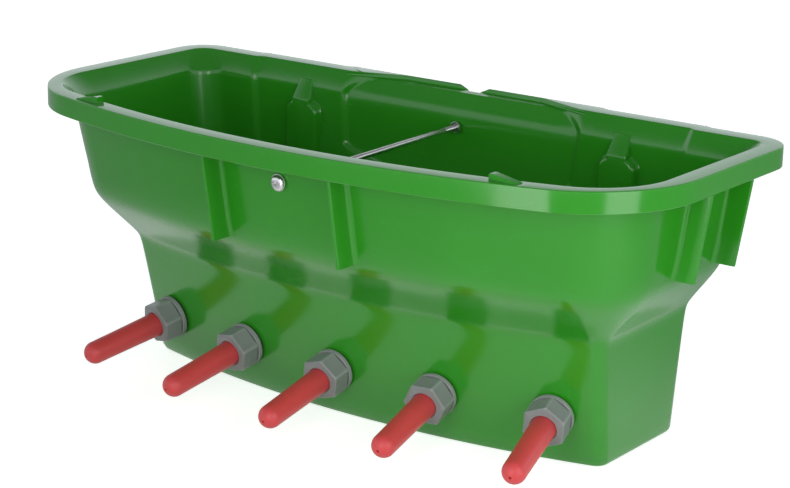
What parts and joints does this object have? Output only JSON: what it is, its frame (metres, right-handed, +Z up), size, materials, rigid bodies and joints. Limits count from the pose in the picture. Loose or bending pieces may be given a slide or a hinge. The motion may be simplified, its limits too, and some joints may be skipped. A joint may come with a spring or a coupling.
{
  "type": "multi-teat feeding bucket",
  "caption": "Long moulded feeding trough with a flanged rim, tapered lower chamber, tie rod and a row of screw-in rubber teats with non-return valves.",
  "frame": {"origin": "centre of the bounding box at floor height, under the tub", "axes": "+X along the tub to the right when facing its teats, +Y towards the flat back wall, +Z up; the teats point to -Y"},
  "size_m": [0.76, 0.363, 0.312],
  "materials": {
    "green_polypropylene": "satin moulded polypropylene",
    "red_rubber": "smooth soft rubber",
    "grey_nylon": "satin moulded nylon",
    "black_seal_rubber": "matte",
    "white_acetal": "smooth",
    "stainless_steel": "bright turned steel"
  },
  "bodies": {
    "tub_body": {"tub": "green_polypropylene", "teat_1": "red_rubber", "union_nut_1": "grey_nylon", "valve_body_1": "grey_nylon", "sealing_gasket_1": "black_seal_rubber", "lock_nut_1": "grey_nylon", "ball_retainer_1": "white_acetal", "teat_2": "red_rubber", "union_nut_2": "grey_nylon", "valve_body_2": "grey_nylon", "sealing_gasket_2": "black_seal_rubber", "lock_nut_2": "grey_nylon", "ball_retainer_2": "white_acetal", "teat_3": "red_rubber", "union_nut_3": "grey_nylon", "valve_body_3": "grey_nylon", "sealing_gasket_3": "black_seal_rubber", "lock_nut_3": "grey_nylon", "ball_retainer_3": "white_acetal", "teat_4": "red_rubber", "union_nut_4": "grey_nylon", "valve_body_4": "grey_nylon", "sealing_gasket_4": "black_seal_rubber", "lock_nut_4": "grey_nylon", "ball_retainer_4": "white_acetal", "teat_5": "red_rubber", "union_nut_5": "grey_nylon", "valve_body_5": "grey_nylon", "sealing_gasket_5": "black_seal_rubber", "lock_nut_5": "grey_nylon", "ball_retainer_5": "white_acetal", "tie_rod": "stainless_steel", "front_sleeve_nut": "stainless_steel", "front_washer": "stainless_steel", "front_jam_nut": "stainless_steel", "back_sleeve_nut": "stainless_steel", "back_washer": "stainless_steel", "back_jam_nut": "stainless_steel"},
    "ball_1": {"check_ball_1": "white_acetal"},
    "ball_2": {"check_ball_2": "white_acetal"},
    "ball_3": {"check_ball_3": "white_acetal"},
    "ball_4": {"check_ball_4": "white_acetal"},
    "ball_5": {"check_ball_5": "white_acetal"}
  },
  "joints": [
    {"name": "check_ball_1_lift", "type": "slide", "parent": "tub_body", "child": "ball_1", "axis": [0.2235, 0.9519, 0.2097], "range_m": [0, 0.0037]},
    {"name": "check_ball_2_lift", "type": "slide", "parent": "tub_body", "child": "ball_2", "axis": [0.1118, 0.9713, 0.2097], "range_m": [0, 0.0037]},
    {"name": "check_ball_3_lift", "type": "slide", "parent": "tub_body", "child": "ball_3", "axis": [0, 0.9778, 0.2097], "range_m": [0, 0.0037]},
    {"name": "check_ball_4_lift", "type": "slide", "parent": "tub_body", "child": "ball_4", "axis": [-0.1118, 0.9713, 0.2097], "range_m": [0, 0.0037]},
    {"name": "check_ball_5_lift", "type": "slide", "parent": "tub_body", "child": "ball_5", "axis": [-0.2235, 0.9519, 0.2097], "range_m": [0, 0.0037]}
  ]
}
